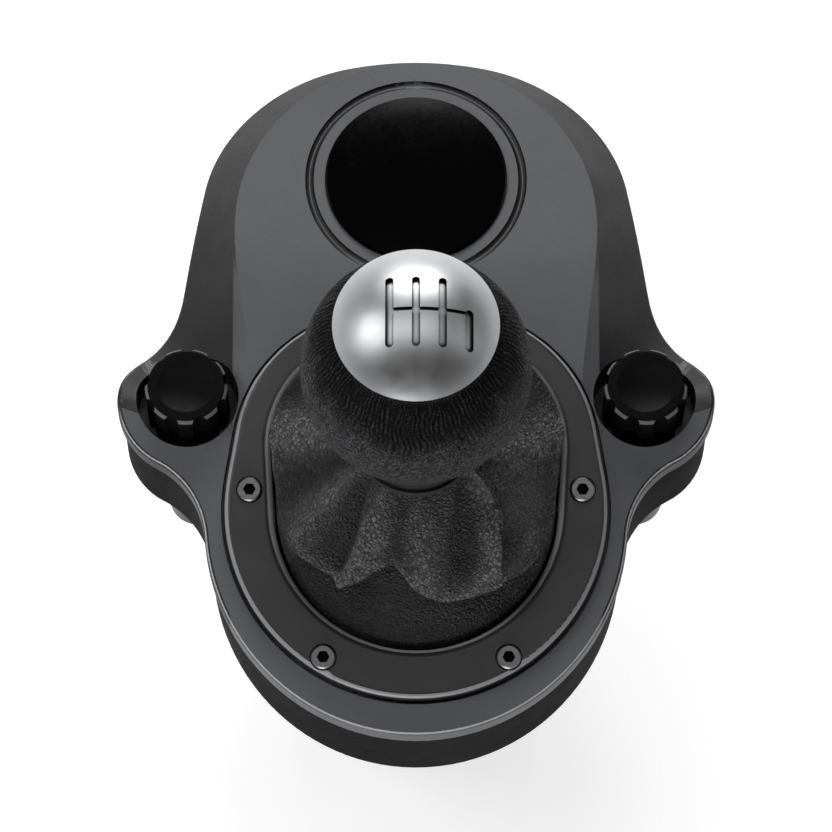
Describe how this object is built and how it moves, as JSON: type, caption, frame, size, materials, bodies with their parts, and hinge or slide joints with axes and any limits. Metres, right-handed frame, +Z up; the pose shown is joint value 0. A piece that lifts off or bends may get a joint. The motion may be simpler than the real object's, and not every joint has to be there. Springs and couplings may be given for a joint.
{
  "type": "sim racing gear shifter",
  "caption": "Table-clamped gear shifter with an H-pattern lever, leather boot, ball knob with a metal cap, and two thumb-screw clamps.",
  "frame": {"origin": "under the middle of the shifter's outline, on the level of the tub's floor", "axes": "+Z up along the lever, +X to the driver's right, +Y away from the driver"},
  "size_m": [0.136, 0.1584, 0.2049],
  "materials": {
    "cover_plastic": "satin charcoal",
    "housing_plastic": "fine texture",
    "gloss_black": "polished",
    "bezel_plastic": "satin",
    "leather": "grained black",
    "aluminium": "satin anodised",
    "dark_steel": "black oxide",
    "steel": "bright",
    "brass": "turned",
    "rubber": "matt",
    "board": "lacquered",
    "jaw_metal": "powder coated"
  },
  "bodies": {
    "chassis": {"top_cover": "cover_plastic", "lower_housing": "housing_plastic", "bottom_cover": "housing_plastic", "round_badge": "gloss_black", "boot_bezel": "bezel_plastic", "bezel_screws": "dark_steel", "boot_retainer": "steel", "gear_boot": "leather", "housing_screws": "dark_steel", "bottom_screws": "dark_steel", "frame_screws": "dark_steel", "table_pads": "rubber", "mount_inserts": "brass", "cable_gland": "rubber", "mechanism_frame": "jaw_metal", "gate_plate": "steel", "gate_screws": "steel", "yoke_bushings": "brass", "centring_spring": "steel", "select_sensor": "bezel_plastic", "circuit_board": "board", "board_screws": "steel", "board_socket": "gloss_black", "clamp_washer_right": "steel", "clamp_washer_left": "steel"},
    "select_body": {"select_yoke": "jaw_metal", "yoke_pins": "steel", "shift_sensor": "bezel_plastic", "detent_ball": "steel", "detent_spring": "steel"},
    "shift_body": {"carrier_tube": "steel", "carrier_pins": "steel", "reverse_switch": "bezel_plastic", "reverse_spring": "steel", "boot_clip": "bezel_plastic"},
    "lever": {"lever_rod": "steel", "gate_pin": "steel", "stop_ring": "steel", "knob_collar": "bezel_plastic", "knob_pin": "steel", "knob_core": "housing_plastic", "knob_grip": "leather", "knob_cap": "aluminium"},
    "knob_right": {"thumb_knob_right": "gloss_black", "clamp_screw_right": "steel", "clamp_clips_right": "dark_steel"},
    "jaw_right": {"clamp_jaw_right": "jaw_metal", "jaw_nut_right": "brass", "jaw_pad_right": "rubber"},
    "knob_left": {"thumb_knob_left": "gloss_black", "clamp_screw_left": "steel", "clamp_clips_left": "dark_steel"},
    "jaw_left": {"clamp_jaw_left": "jaw_metal", "jaw_nut_left": "brass", "jaw_pad_left": "rubber"}
  },
  "joints": [
    {"name": "lever_select", "type": "hinge", "parent": "chassis", "child": "select_body", "pos_m": [0, -0.0268, 0.065], "axis": [0, 1, 0], "range_deg": [-7.5, 15], "stiffness_Nm_per_rad": 1.6, "deforming": ["gear_boot", "centring_spring"]},
    {"name": "lever_shift", "type": "hinge", "parent": "select_body", "child": "shift_body", "pos_m": [0, -0.0268, 0.065], "axis": [1, 0, 0], "range_deg": [-13, 13], "deforming": ["gear_boot", "detent_spring"]},
    {"name": "lever_push", "type": "slide", "parent": "shift_body", "child": "lever", "axis": [0, 0, -1], "range_m": [0, 0.005], "stiffness_N_per_m": 1200, "springref_m": -0.006, "deforming": ["reverse_spring"]},
    {"name": "jaw_right_lift", "type": "slide", "parent": "chassis", "child": "jaw_right", "axis": [0, 0, 1], "range_m": [0, 0.023]},
    {"name": "thumb_knob_right_turn", "type": "hinge", "parent": "chassis", "child": "knob_right", "pos_m": [0.052, -0.0036, 0.105], "axis": [0, 0, -1], "range_deg": [0, 4140]},
    {"name": "jaw_left_lift", "type": "slide", "parent": "chassis", "child": "jaw_left", "axis": [0, 0, 1], "range_m": [0, 0.023]},
    {"name": "thumb_knob_left_turn", "type": "hinge", "parent": "chassis", "child": "knob_left", "pos_m": [-0.052, -0.0036, 0.105], "axis": [0, 0, -1], "range_deg": [0, 4140]}
  ],
  "couplings": [
    {"joint": "thumb_knob_right_turn", "follows": "jaw_right_lift", "rad_per_m": 3141.6},
    {"joint": "thumb_knob_left_turn", "follows": "jaw_left_lift", "rad_per_m": 3141.6}
  ]
}
